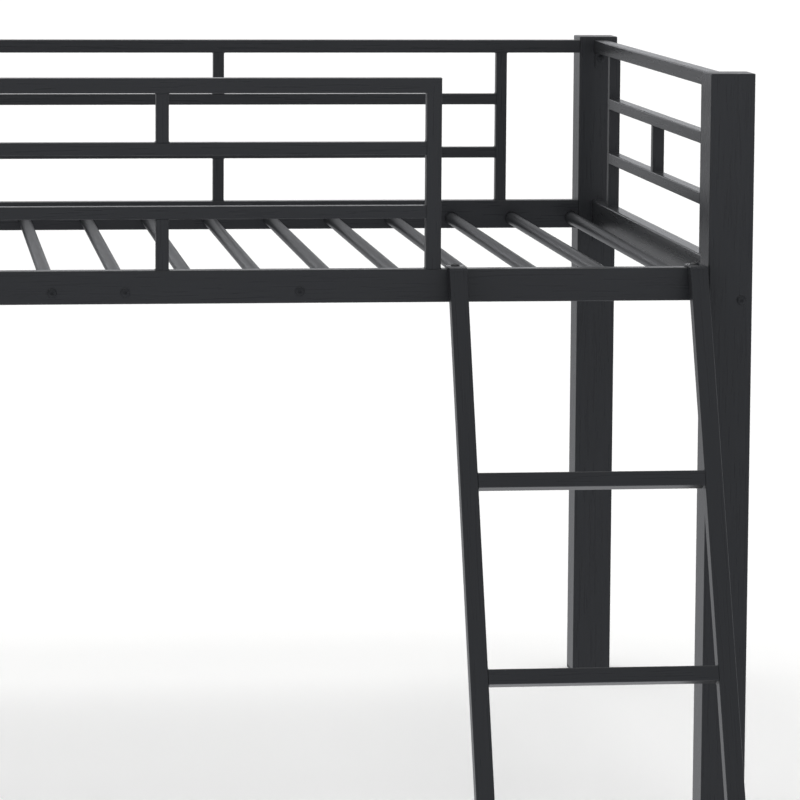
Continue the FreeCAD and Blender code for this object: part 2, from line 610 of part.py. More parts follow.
def build():
    """Every node's name and its solids."""
    nodes = {}
    for row, back in (("front", False), ("back", True)):
        for name, side in SIDES:
            nodes[f"post_{row}_{name}"] = [post(side, back)]
        nodes[f"side_rail_{row}"] = [side_rail(back)]
    nodes["post_top_caps"] = post_caps(BED_HEIGHT - TOP_CAP_THICKNESS, TOP_CAP_THICKNESS, TOP_CAP_SKIRT, 1)
    nodes["post_foot_caps"] = post_caps(FOOT_CAP_THICKNESS, FOOT_CAP_THICKNESS, FOOT_CAP_SKIRT, -1)
    nodes["side_rail_brackets"] = [side_rail_bracket(side, back)
                                   for _, side in SIDES for back in (False, True)]
    for name, side in SIDES:
        nodes[f"end_rail_{name}"] = [end_rail(side)]
        nodes[f"end_top_rail_{name}"] = [end_top_rail(side)]
        nodes[f"end_mid_rails_{name}"] = end_mid_rails(side)
        nodes[f"end_uprights_{name}"] = end_uprights(side)
    nodes["end_centre_bars"] = [end_centre_bar(side) for _, side in SIDES]
    nodes["end_panel_tabs"] = end_panel_tabs()

    nodes["back_guard_top_rail"] = [back_guard_top_rail()]
    nodes["back_guard_mid_rails"] = back_guard_mid_rails()
    nodes["back_guard_uprights"] = back_guard_uprights()
    nodes["back_guard_bars"] = quarter_bars(-BACK_UPRIGHT_X, BACK_UPRIGHT_X, BACK_GUARD_DEPTH)

    nodes["front_guard_top_rail"] = [front_guard_top_rail()]
    nodes["front_guard_middle_rail"] = [front_guard_mid_rail(UPPER_BAR_Z)]
    nodes["front_guard_bottom_rail"] = [front_guard_mid_rail(LOWER_BAR_Z)]
    nodes["front_guard_uprights"] = front_guard_uprights()
    nodes["front_guard_bars"] = quarter_bars(FRONT_LEFT_X, FRONT_RIGHT_X, FRONT_RAIL_DEPTH)

    for name, x in (("left", LEFT_STRINGER_X), ("right", RIGHT_STRINGER_X)):
        nodes[f"ladder_stringer_{name}"] = [leaning(x, LADDER_FOOT_THICKNESS, RAIL_TOP, STRINGER)]
        nodes[f"ladder_hook_{name}"] = [ladder_hook(x)]
    nodes["ladder_feet"] = [ladder_foot(x) for x in (LEFT_STRINGER_X, RIGHT_STRINGER_X)]
    nodes["ladder_rung_upper"] = [ladder_rung(RAIL_TOP - TOP_STEP)]
    nodes["ladder_rung_lower"] = [ladder_rung(RAIL_TOP - TOP_STEP - RUNG_PITCH)]

    nodes["frame_bolts"] = [button_bolt(seat) for seat in all_bolts()]
    nodes["rivet_nuts"] = all_nuts()
    nodes["slat_end_plugs"] = slat_plugs()
    for number in range(SLAT_COUNT):
        nodes[f"slat_{number + 1:02d}"] = [slat(number)]
    return nodes


def save(name, solids):
    """Move the solids into the part's own frame and write them as one file."""
    moved = []
    for solid in solids:
        solid.translate(Vector(0, -MIDDLE_DEPTH, 0))
        moved.append(solid)
    shape = moved[0] if len(moved) == 1 else Part.makeCompound(moved)
    shape.exportStep(f"parts/{name}.step")


os.makedirs("parts", exist_ok=True)
all_nodes = build()
for node_name, node_solids in all_nodes.items():
    save(node_name, node_solids)
print(len(all_nodes), "nodes,", sum(len(solids) for solids in all_nodes.values()), "solids")
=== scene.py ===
# %% [markdown]
# # A raised single bed with guard rails and a ladder
#
# The real object is a welded and bolted bed of square steel tube under a satin charcoal powder
# coat. Its measured model is finished: every tube, slat and bolt is already in its place, in metres.
# This lesson gives that model the looks of the real bed. Tubes whose shape is right keep their mesh
# and get a better finish. Small parts that are soft-edged in real life, such as caps, bolt heads and
# bent plates, are modelled again in more detail, and weld beads are added where tubes meet.

# %% Load the measured model
import math

import bmesh
import bpy
from mathutils import Matrix, Vector


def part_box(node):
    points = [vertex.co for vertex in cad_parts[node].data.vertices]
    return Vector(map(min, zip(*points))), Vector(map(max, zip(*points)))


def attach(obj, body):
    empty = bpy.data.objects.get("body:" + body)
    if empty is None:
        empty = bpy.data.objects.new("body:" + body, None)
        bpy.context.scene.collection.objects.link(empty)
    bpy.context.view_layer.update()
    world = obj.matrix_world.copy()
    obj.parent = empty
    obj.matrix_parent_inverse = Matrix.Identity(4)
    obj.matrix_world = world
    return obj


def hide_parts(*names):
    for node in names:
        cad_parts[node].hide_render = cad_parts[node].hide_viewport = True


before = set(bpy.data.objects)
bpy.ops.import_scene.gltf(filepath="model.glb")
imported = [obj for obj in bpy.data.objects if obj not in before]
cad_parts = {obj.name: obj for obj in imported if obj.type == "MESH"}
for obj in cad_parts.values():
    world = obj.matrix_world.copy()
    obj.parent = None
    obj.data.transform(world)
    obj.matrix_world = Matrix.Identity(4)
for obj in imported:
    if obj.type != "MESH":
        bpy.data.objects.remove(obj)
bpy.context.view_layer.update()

MM = 0.001

# %% [markdown]
# ## The camera
#
# A product picture of furniture is taken from far away with a long lens, so that upright posts stay
# nearly parallel. The camera stands a little left of the middle of the bed and above its guards, and
# looks at the right-hand end. A camera looks along its own -Z axis, so it is built from three turns:
# up from looking at the floor, a turn toward the ladder, and a slight roll. A small lens shift does
# the last part of the framing without tilting the posts.

# %% Place the camera
CAMERA_PLACE = Vector((-0.0703, -5.4551, 1.2577))
CAMERA_YAW = math.radians(6.6306)
CAMERA_DIP = math.radians(6.0159)
CAMERA_ROLL = math.radians(0.3388)
LENS_MM = 185.096
SENSOR_MM = 36.0
SHIFT_RIGHT = 0.05
SHIFT_UP = -0.155

camera_data = bpy.data.cameras.new("studio_camera")
camera_data.lens = LENS_MM
camera_data.sensor_width = SENSOR_MM
camera_data.shift_x = SHIFT_RIGHT
camera_data.shift_y = SHIFT_UP
camera = bpy.data.objects.new("studio_camera", camera_data)
bpy.context.scene.collection.objects.link(camera)
turn = Matrix.Rotation(-CAMERA_YAW, 4, "Z") @ Matrix.Rotation(math.pi / 2 - CAMERA_DIP, 4, "X")
camera.matrix_world = Matrix.Translation(CAMERA_PLACE) @ turn @ Matrix.Rotation(CAMERA_ROLL, 4, "Z")
bpy.context.scene.camera = camera
print("camera lens:", round(camera_data.lens, 1), "mm")

# %% [markdown]
# ## The studio
#
# Dark satin paint shows its surroundings more than its own colour. The bed stands in a white room:
# faces seen square-on stay dark, faces seen at a low angle mirror the white, and corners that see
# less of the room go darker by themselves. The room is brightest in a band at the horizon, like a
# white backdrop, and dimmer overhead, so that flat tops shine and round slats keep their shape. The
# world is that room: a colour ramp reads how high each ray points, and each band is a slope, from
# -1 for straight down to 1 for straight up, with its brightness. Rays that come straight from the
# camera see a plain white backdrop instead. One very soft, high lamp brightens the floor evenly. The
# floor is white and only catches soft shadows, so it is hidden from reflections.

# %% Build the white room
ROOM_STRENGTH = 2.5
ROOM_TINT = (0.955, 0.965, 1.0)
ROOM_BANDS = ((-1.00, 0.44), (-0.36, 0.42), (-0.24, 0.29), (-0.15, 0.24), (-0.07, 0.16), (-0.02, 0.22),
              (0.005, 0.82), (0.03, 1.00), (0.065, 0.70), (0.13, 0.27), (0.30, 0.19), (1.00, 0.19))
WHITE = (1.0, 1.0, 1.0)


def shade(colour, share):
    """A colour with every channel multiplied by the same share."""
    return tuple(channel * share for channel in colour)


def opaque(colour):
    """A colour with full alpha, which is how Blender's colour sockets take it."""
    return (*colour, 1.0)


world = bpy.data.worlds.new("white_room")
world.use_nodes = True
bpy.context.scene.world = world
bpy.context.scene.view_settings.view_transform = "Standard"
room = world.node_tree
room.nodes.clear()
direction = room.nodes.new("ShaderNodeTexCoord")
axes = room.nodes.new("ShaderNodeSeparateXYZ")
height = room.nodes.new("ShaderNodeMapRange")
height.inputs["From Min"].default_value = -1.0
height.inputs["From Max"].default_value = 1.0
bands = room.nodes.new("ShaderNodeValToRGB")
while len(bands.color_ramp.elements) < len(ROOM_BANDS):
    bands.color_ramp.elements.new(0.5)
for stop, (slope, level) in zip(bands.color_ramp.elements, ROOM_BANDS):
    stop.position = (slope + 1) / 2
    stop.color = opaque(shade(ROOM_TINT, level))
walls = room.nodes.new("ShaderNodeBackground")
walls.inputs["Strength"].default_value = ROOM_STRENGTH
backdrop = room.nodes.new("ShaderNodeBackground")
backdrop.inputs["Color"].default_value = opaque(WHITE)
seen = room.nodes.new("ShaderNodeLightPath")
choose = room.nodes.new("ShaderNodeMixShader")
out = room.nodes.new("ShaderNodeOutputWorld")
room.links.new(direction.outputs["Generated"], axes.inputs["Vector"])
room.links.new(axes.outputs["Z"], height.inputs["Value"])
room.links.new(height.outputs["Result"], bands.inputs["Fac"])
room.links.new(bands.outputs["Color"], walls.inputs["Color"])
room.links.new(seen.outputs["Is Camera Ray"], choose.inputs["Fac"])
room.links.new(walls.outputs["Background"], choose.inputs[1])
room.links.new(backdrop.outputs["Background"], choose.inputs[2])
room.links.new(choose.outputs["Shader"], out.inputs["Surface"])
print("room bands:", len(ROOM_BANDS))

# %% Hang the soft lamp
LAMP_STRENGTH = 1.95
LAMP_COLOUR = (1.0, 0.99, 0.95)
LAMP_SPREAD = math.radians(70)
LAMP_TURN = (math.radians(-12), math.radians(-10), 0)

lamp_data = bpy.data.lights.new("soft_lamp", "SUN")
lamp_data.energy = LAMP_STRENGTH
lamp_data.color = LAMP_COLOUR
lamp_data.angle = LAMP_SPREAD
lamp = bpy.data.objects.new("soft_lamp", lamp_data)
lamp.rotation_euler = LAMP_TURN
bpy.context.scene.collection.objects.link(lamp)
print("lamp:", lamp_data.type, LAMP_STRENGTH)

# %% Lay the floor
FLOOR_RADIUS = 60.0
FLOOR_SIDES = 64
FLOOR_ROUGHNESS = 0.9

floor_mesh = bpy.data.meshes.new("floor")
disc = bmesh.new()
bmesh.ops.create_circle(disc, cap_ends=True, radius=FLOOR_RADIUS, segments=FLOOR_SIDES)
disc.to_mesh(floor_mesh)
disc.free()
floor = bpy.data.objects.new("floor", floor_mesh)
bpy.context.scene.collection.objects.link(floor)
floor_paint = bpy.data.materials.new("pale_floor")
floor_paint.use_nodes = True
floor_shader = floor_paint.node_tree.nodes["Principled BSDF"]
floor_shader.inputs["Base Color"].default_value = opaque(WHITE)
floor_shader.inputs["Roughness"].default_value = FLOOR_ROUGHNESS
floor_mesh.materials.append(floor_paint)
floor.visible_glossy = False
floor.visible_diffuse = False
print("floor laid,", 2 * FLOOR_RADIUS, "m across")

# %% [markdown]
# ## Powder coat
#
# Powder coat is a layer of baked resin. Seen close, it has a fine orange-peel ripple, and its dark
# colour drifts slightly where the layer is thicker. On drawn tube it also keeps faint streaks that
# run the length of the metal. A noise pattern that is squeezed across a tube and stretched along it
# gives such streaks, so each direction of tube has its own finish: a Mapping node scales the
# object's coordinates, little along the tube and much across it, and turns them first for the leaning
# ladder. A second, broad noise is the slow drift of the layer. The slats are a little duller, and the
# posts' streaks are a little broader and shorter.
#
# Noise stays near the middle of its range, so its middle is spread over the range that is wanted. The
# colour is a mix from black to twice the coat, and the factor is half the share: a share of 1 is then
# the coat itself, and there is room to go a little brighter.

# %% Make a powder coat for each direction of tube
COAT = (0.0305, 0.0320, 0.0348)
ACROSS = 340.0
ALONG = 14.0
LADDER_LEAN = math.radians(24)
STREAK_DETAIL = 4.0
DRIFT_SCALE = 7.0
DRIFT_DETAIL = 3.0
PEEL_DETAIL = 2.0
PEEL_STRENGTH = 0.35
NOISE_MIDDLE = (0.3, 0.7)
SMOOTHER = 0.015
ROUGHER = 0.02
HEADROOM = 2.0


def noise(tree, vector, scale, detail):
    """A noise texture that reads one vector."""
    pattern = tree.nodes.new("ShaderNodeTexNoise")
    pattern.inputs["Scale"].default_value = scale
    pattern.inputs["Detail"].default_value = detail
    tree.links.new(vector, pattern.inputs["Vector"])
    return pattern.outputs["Fac"]


def remap(tree, value, low, high):
    """Spread the middle of a noise over a new range."""
    spread = tree.nodes.new("ShaderNodeMapRange")
    spread.inputs["From Min"].default_value = NOISE_MIDDLE[0]
    spread.inputs["From Max"].default_value = NOISE_MIDDLE[1]
    spread.inputs["To Min"].default_value = low
    spread.inputs["To Max"].default_value = high
    tree.links.new(value, spread.inputs["Value"])
    return spread.outputs["Result"]


def multiply(tree, first, second):
    """The product of two node outputs."""
    product = tree.nodes.new("ShaderNodeMath")
    product.operation = "MULTIPLY"
    tree.links.new(first, product.inputs[0])
    tree.links.new(second, product.inputs[1])
    return product.outputs["Value"]


def finish(name, stretch, colour=COAT, contrast=0.04, roughness=0.28, grain=650.0, relief=0.03 * MM,
           ior=1.28, lean=0.0):
    """A satin skin: streaks along the axis with the smallest stretch, slow drift and a fine grain."""
    made = bpy.data.materials.new(name)
    made.use_nodes = True
    tree = made.node_tree
    shader = tree.nodes["Principled BSDF"]
    shader.inputs["IOR"].default_value = ior
    place = tree.nodes.new("ShaderNodeTexCoord")
    along = tree.nodes.new("ShaderNodeMapping")
    along.vector_type = "TEXTURE"
    along.inputs["Rotation"].default_value = (lean, 0.0, 0.0)
    along.inputs["Scale"].default_value = tuple(1 / times for times in stretch)
    tree.links.new(place.outputs["Object"], along.inputs["Vector"])

    streaks = noise(tree, along.outputs["Vector"], 1.0, STREAK_DETAIL)
    drift = noise(tree, place.outputs["Object"], DRIFT_SCALE, DRIFT_DETAIL)
    streak_share = remap(tree, streaks, 1.0 - contrast, 1.0 + contrast)
    drift_share = remap(tree, drift, 1.0 - contrast / 2, 1.0 + contrast / 2)
    share = multiply(tree, streak_share, drift_share)
    paint = tree.nodes.new("ShaderNodeMix")
    paint.data_type = "RGBA"
    paint.inputs["A"].default_value = opaque(shade(colour, 0.0))
    paint.inputs["B"].default_value = opaque(shade(colour, HEADROOM))
    factor = tree.nodes.new("ShaderNodeMath")
    factor.operation = "MULTIPLY"
    factor.inputs[1].default_value = 1 / HEADROOM
    tree.links.new(share, factor.inputs[0])
    tree.links.new(factor.outputs["Value"], paint.inputs["Factor"])
    tree.links.new(paint.outputs["Result"], shader.inputs["Base Color"])
    sheen = remap(tree, streaks, roughness - SMOOTHER, roughness + ROUGHER)
    tree.links.new(sheen, shader.inputs["Roughness"])

    peel = noise(tree, place.outputs["Object"], grain, PEEL_DETAIL)
    ripple = tree.nodes.new("ShaderNodeBump")
    ripple.inputs["Strength"].default_value = PEEL_STRENGTH
    ripple.inputs["Distance"].default_value = relief
    tree.links.new(peel, ripple.inputs["Height"])
    tree.links.new(ripple.outputs["Normal"], shader.inputs["Normal"])
    return made


POST_ACROSS = 0.8 * ACROSS
POST_ALONG = 1.2 * ALONG

coat_along_x = finish("coat_along_x", (ALONG, ACROSS, ACROSS))
coat_along_y = finish("coat_along_y", (ACROSS, ALONG, ACROSS))
coat_upright = finish("coat_upright", (ACROSS, ACROSS, ALONG))
coat_post = finish("coat_post", (POST_ACROSS, POST_ACROSS, POST_ALONG), contrast=0.07)
coat_slat = finish("coat_slat", (ACROSS, ALONG, ACROSS), contrast=0.07, roughness=0.36, ior=1.22)
coat_leaning = finish("coat_leaning", (ACROSS, ACROSS, ALONG), lean=-LADDER_LEAN)
coats = (coat_along_x, coat_along_y, coat_upright, coat_post, coat_slat, coat_leaning)
print("coats:", [coat.name for coat in coats])

# %% [markdown]
# ## The other finishes
#
# The caps and feet are moulded plastic, coloured to match: flatter than the coat, with an even grain
# and no streaks. Bolts are blackened steel, a little duller than the coat. Weld beads are under the
# same coat as the tubes, but it is rougher and more mottled there. Threaded plugs and nuts inside the
# tubes are zinc plated, which is metal and much paler.

# %% Make the small parts' finishes
def even(scale):
    """A stretch that is the same every way, for a finish without streaks."""
    return (scale, scale, scale)


ZINC = (0.48, 0.48, 0.50)
METALNESS = 0.9

cap_plastic = finish("cap_plastic", even(90.0), colour=shade(COAT, 0.95), contrast=0.06,
                     roughness=0.36, grain=1400.0)
foot_plastic = finish("foot_plastic", even(90.0), colour=shade(COAT, 0.55), contrast=0.10,
                      roughness=0.52, grain=900.0, relief=0.10 * MM)
blackened = finish("blackened_steel", even(300.0), colour=shade(COAT, 0.92), contrast=0.16,
                   roughness=0.31, grain=1800.0, ior=1.22)
coated_weld = finish("coated_weld", even(420.0), colour=shade(COAT, 0.96), contrast=0.22,
                     roughness=0.36, grain=1100.0, relief=0.16 * MM)
zinc = finish("zinc_plate", (380.0, 380.0, 60.0), colour=ZINC, contrast=0.14,
              roughness=0.34, grain=1500.0, ior=2.2)
zinc.node_tree.nodes["Principled BSDF"].inputs["Metallic"].default_value = METALNESS
small_finishes = (cap_plastic, foot_plastic, blackened, coated_weld, zinc)
print("small finishes:", [small.name for small in small_finishes])

# %% [markdown]
# ## A finish for every measured node
#
# A node's name says what it is and which way it runs, so its finish is chosen by name. Posts, slats,
# stringers and small parts have their own. Other level tubes get the coat for X or Y, and whatever is
# left gets the upright one.

# %% Finish the measured tubes
LEVEL_X = ("side_rail_front", "side_rail_back", "guard_top_rail", "guard_mid_rails",
           "guard_middle_rail", "guard_bottom_rail", "ladder_rung", "side_rail_brackets")
LEVEL_Y = ("end_rail", "end_top_rail", "end_mid_rails", "ladder_hook")
FINISHES = {"post_front": coat_post, "post_back": coat_post, "slat_end_plugs": zinc, "rivet_nuts": zinc,
            "post_top_caps": cap_plastic, "post_foot_caps": foot_plastic, "ladder_feet": foot_plastic,
            "frame_bolts": blackened, "ladder_stringer": coat_leaning, "slat_": coat_slat}


def finish_for(node):
    """The finish for a measured node, from its name."""
    for part, made in FINISHES.items():
        if part in node:
            return made
    if any(part in node for part in LEVEL_X):
        return coat_along_x
    if any(part in node for part in LEVEL_Y):
        return coat_along_y
    return coat_upright


for name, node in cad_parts.items():
    node.data.materials.clear()
    node.data.materials.append(finish_for(name))
print("finished nodes:", len(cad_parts))

# %% [markdown]
# ## Measuring pieces inside a node
#
# Some measured nodes hold several alike pieces, such as the four caps or all the bolts. A new piece
# has to stand exactly where each of them stands. The node's mesh is copied, its doubled corners are
# merged, and then walking from edge to edge finds every separate piece. Each gives its lowest and
# highest corner.

# %% Find the separate pieces of a node
SAME_PLACE = 1e-5        # corners nearer together than this, in metres, are one


def merged_copy(node):
    """A measured node's mesh in a new bmesh, with its loose triangles joined up."""
    shape = bmesh.new()
    shape.from_mesh(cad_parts[node].data)
    bmesh.ops.remove_doubles(shape, verts=shape.verts[:], dist=SAME_PLACE)
    return shape


def extent(points):
    """Lowest and highest corner of some points."""
    low = Vector([min(point[axis] for point in points) for axis in range(3)])
    high = Vector([max(point[axis] for point in points) for axis in range(3)])
    return low, high


def separate_pieces(node):
    """The corners of every separate piece of a node, each as a list of points."""
    shape = merged_copy(node)
    waiting = set(shape.verts)
    pieces = []
    while waiting:
        reached = [waiting.pop()]
        points = []
        while reached:
            corner = reached.pop()
            points.append(corner.co.copy())
            for edge in corner.link_edges:
                other = edge.other_vert(corner)
                if other in waiting:
                    waiting.remove(other)
                    reached.append(other)
        pieces.append(points)
    shape.free()
    pieces.sort(key=lambda points: tuple(round(side, 4) for side in extent(points)[0]))
    return pieces


bolt_pieces = separate_pieces("frame_bolts")
print("bolts:", len(bolt_pieces))

# %% [markdown]
# ## Turning a bmesh into a piece
#
# Every new piece ends the same way: its mesh becomes an object at the origin, gets its finish and rides
# with the frame. Faces are shaded smooth, and edges sharper than 40 degrees are marked sharp so that
# flat faces stay flat. A shape that is needed many times is kept as a pattern and copied into place.

# %% Hand over a finished piece
SHARP = math.radians(40)


def hand_over(name, shape, material, replaced=()):
    """Make an object from a bmesh and let it ride with the frame."""
    bmesh.ops.recalc_face_normals(shape, faces=shape.faces[:])
    for face in shape.faces:
        face.smooth = True
    for edge in shape.edges:
        edge.smooth = len(edge.link_faces) == 2 and edge.calc_face_angle(0.0) < SHARP
    mesh = bpy.data.meshes.new(name)
    shape.to_mesh(mesh)
    shape.free()
    mesh.materials.append(material)
    piece = bpy.data.objects.new(name, mesh)
    bpy.context.scene.collection.objects.link(piece)
    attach(piece, "root")
    if replaced:
        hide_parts(*replaced)
    print(name, "has", len(mesh.polygons), "faces")


def add_copy(shape, pattern, matrix):
    """Add a copy of a pattern mesh to a bmesh, moved by a matrix."""
    before = set(shape.verts)
    shape.from_mesh(pattern)
    added = [corner for corner in shape.verts if corner not in before]
    bmesh.ops.transform(shape, matrix=matrix, verts=added)


def as_pattern(name, shape):
    """Keep a bmesh as a mesh that add_copy can place many times."""
    pattern = bpy.data.meshes.new(name)
    shape.to_mesh(pattern)
    shape.free()
    return pattern


def round_edges(shape, edges, radius, segments, clamp=False):
    """Round some edges of a bmesh with a bevel."""
    bmesh.ops.bevel(shape, geom=edges, offset=radius, offset_type="OFFSET", affect="EDGES",
                    segments=segments, profile=0.5, material=-1, clamp_overlap=clamp)


def new_corners(made):
    """The vertices among what an extrude has made."""
    return [part for part in made if isinstance(part, bmesh.types.BMVert)]


print("edges stay sharp above", round(math.degrees(SHARP)), "degrees")

# %% [markdown]
# ## Post caps and feet
#
# A plastic cap closes the top of each post, and a thicker one is its foot. Each is a plate as wide
# as the post with a skirt that plugs into the tube. The measured one has plain chamfers; a moulded
# one has rounded corners and a soft rim. Bevelling a cube does it: the four upright edges first, to
# match the post's corners, and then the rim. The hidden face is inset and pushed in for the skirt.

# %% Mould the caps
POST_CORNER = 2.5 * MM
SKIRT_INSET = 1.7 * MM
TOP_RIM = 0.8 * MM
FOOT_RIM = 1.4 * MM


def faces_at(shape, z):
    """The level faces of a bmesh at one height."""
    return [face for face in shape.faces if all(abs(corner.co.z - z) < SAME_PLACE for corner in face.verts)]


def moulded_cap(low, high, plate, rim, top):
    """A cap in this box: its plate is at the top or the bottom, and the rest of the height is skirt."""
    shape = bmesh.new()
    bmesh.ops.create_cube(shape, size=1.0)
    size = high - low
    middle = (low + high) / 2
    middle.z = high.z - plate / 2 if top else low.z + plate / 2
    bmesh.ops.scale(shape, vec=(size.x, size.y, plate), verts=shape.verts[:])
    bmesh.ops.translate(shape, vec=middle, verts=shape.verts[:])
    upright = [edge for edge in shape.edges
               if abs((edge.verts[0].co - edge.verts[1].co).z) > plate / 2]
    round_edges(shape, upright, POST_CORNER, segments=5)
    outer = faces_at(shape, high.z if top else low.z)[0]
    round_edges(shape, outer.edges[:], rim, segments=4)
    inner_z = high.z - plate if top else low.z + plate
    bmesh.ops.inset_region(shape, faces=faces_at(shape, inner_z), thickness=SKIRT_INSET, depth=0.0,
                           use_even_offset=True)
    plug = min(faces_at(shape, inner_z), key=lambda face: (face.calc_center_median() - middle).length)
    pushed = bmesh.ops.extrude_face_region(shape, geom=[plug])["geom"]
    skirt = size.z - plate
    bmesh.ops.translate(shape, vec=(0, 0, -skirt if top else skirt), verts=new_corners(pushed))
    bmesh.ops.delete(shape, geom=[plug], context="FACES_ONLY")
    return as_pattern("cap_pattern", shape)


def all_caps(name, node, plate, rim, top, material):
    """One moulded cap for each measured one."""
    caps = bmesh.new()
    for points in separate_pieces(node):
        add_copy(caps, moulded_cap(*extent(points), plate, rim, top), Matrix.Identity(4))
    return hand_over(name, caps, material, (node,))


post_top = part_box("post_front_right")[1].z
post_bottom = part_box("post_front_right")[0].z
top_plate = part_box("post_top_caps")[1].z - post_top
foot_plate = post_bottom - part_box("post_foot_caps")[0].z
all_caps("moulded_top_caps", "post_top_caps", top_plate, TOP_RIM, True, cap_plastic)
all_caps("moulded_foot_caps", "post_foot_caps", foot_plate, FOOT_RIM, False, foot_plastic)
print("cap plates:", round(top_plate / MM, 2), "and", round(foot_plate / MM, 2), "mm")

# %% [markdown]
# ## Button-head bolts
#
# The frame is held by low domed bolts with a hexagon socket. A dome is a curve turned about an axis,
# which a spin would make. Here it grows outward from the socket instead. The socket's mouth is a
# hexagon whose sides are cut in four. Its edges are extruded down for the walls, and then outward onto
# a circle and on over the dome, one ring for each step of the curve. So the whole bolt is one skin,
# with no seam between the socket and the dome.

# %% Make one bolt
DOME_MM = ((2.75, 2.40), (3.30, 2.32), (4.10, 2.02), (4.90, 1.52),
           (5.50, 1.00), (5.88, 0.62), (6.00, 0.35), (6.00, 0.0))
HEAD_HEIGHT = DOME_MM[0][1] * MM
SHANK_RADIUS = 3.0 * MM
SHOWN_SHANK = 10 * MM
SOCKET_CORNER = 4.0 * MM / math.sqrt(3)
SOCKET_DEPTH = 1.2 * MM
SOCKET_SIDES = 6
CUTS = 3
SAME_HEIGHT = 1e-7


def extrude_ring(shape, edges, radius, z):
    """Extrude a ring of edges round the Z axis to a new radius and height; returns the new edges."""
    grown = bmesh.ops.extrude_edge_only(shape, edges=edges)["geom"]
    for corner in new_corners(grown):
        flat = Vector((corner.co.x, corner.co.y, 0.0)).normalized() * radius
        corner.co = Vector((flat.x, flat.y, z))
    return [part for part in grown if isinstance(part, bmesh.types.BMEdge)
            and all(abs(corner.co.z - z) < SAME_HEIGHT for corner in part.verts)
            and all(corner in grown for corner in part.verts)]


def domed_bolt(shank):
    """A bolt along Z with its head above the origin and a shank below it."""
    shape = bmesh.new()
    hexagon = bmesh.ops.create_circle(shape, segments=SOCKET_SIDES, radius=SOCKET_CORNER)["verts"]
    bmesh.ops.translate(shape, vec=(0, 0, HEAD_HEIGHT), verts=hexagon)
    bmesh.ops.subdivide_edges(shape, edges=shape.edges[:], cuts=CUTS)
    mouth = shape.edges[:]
    walls = bmesh.ops.extrude_edge_only(shape, edges=mouth)["geom"]
    deep = new_corners(walls)
    bmesh.ops.translate(shape, vec=(0, 0, -SOCKET_DEPTH), verts=deep)
    floor_edges = [part for part in walls if isinstance(part, bmesh.types.BMEdge)
                   and all(corner in deep for corner in part.verts)]
    bmesh.ops.contextual_create(shape, geom=floor_edges)
    ring = mouth
    for radius, z in DOME_MM:
        ring = extrude_ring(shape, ring, radius * MM, z * MM)
    ring = extrude_ring(shape, ring, SHANK_RADIUS, 0.0)
    ring = extrude_ring(shape, ring, SHANK_RADIUS, -shank)
    bmesh.ops.contextual_create(shape, geom=ring)
    return as_pattern("bolt_pattern", shape)


bolt_pattern = domed_bolt(SHOWN_SHANK)
print("one bolt has", len(bolt_pattern.polygons), "faces")

# %% [markdown]
# A bolt's box is longest along its own axis, and its head is at the end whose corners lie further
# from that axis. With the outward direction known, one rotation turns the pattern from Z to it. Each
# bolt is also twisted about its own axis by a different angle, because nobody lines up the sockets.

# %% Put a bolt in every measured place
END_SLICE = 0.1 * MM
CLEARLY_WIDER = 1 * MM
BOLT_TWIST = math.radians(23)


def off_axis(offset, axis):
    """How long an offset is once its share along one axis is left out."""
    flat = offset.copy()
    flat[axis] = 0.0
    return flat.length


def bolt_seat(points):
    """Where a measured bolt's head sits, and the way it points."""
    low, high = extent(points)
    size = high - low
    axis = max(range(3), key=lambda side: size[side])
    middle = (low + high) / 2
    at_high = [point for point in points if high[axis] - point[axis] < END_SLICE]
    radius = max(off_axis(point - middle, axis) for point in at_high)
    sense = 1 if radius > SHANK_RADIUS + CLEARLY_WIDER else -1
    outward = Vector([sense if side == axis else 0 for side in range(3)])
    seat = middle.copy()
    seat[axis] = (high[axis] if sense > 0 else low[axis]) - sense * HEAD_HEIGHT
    return seat, outward


bolts = bmesh.new()
for number, points in enumerate(bolt_pieces):
    seat, outward = bolt_seat(points)
    turned = outward.to_track_quat("Z", "Y").to_matrix().to_4x4()
    twist = Matrix.Rotation(BOLT_TWIST * number, 4, "Z")
    add_copy(bolts, bolt_pattern, Matrix.Translation(seat) @ turned @ twist)
hand_over("button_bolts", bolts, blackened, ("frame_bolts",))

# %% [markdown]
# ## Ladder hooks
#
# Each stringer carries a hook: a 3 mm plate that lies over the side rail and turns down behind it.
# Bent plate has no sharp corner. Its outside curve is nearly the plate's thickness plus the inside
# curve, so the plate is drawn as an L, extruded to its width, and the two bend edges are bevelled
# with those two radii before the small rim bevel.

# %% Bend the hooks
HOOK_INSIDE_BEND = 1.0 * MM
HOOK_THINNING = 0.95
HOOK_RIM = 0.35 * MM


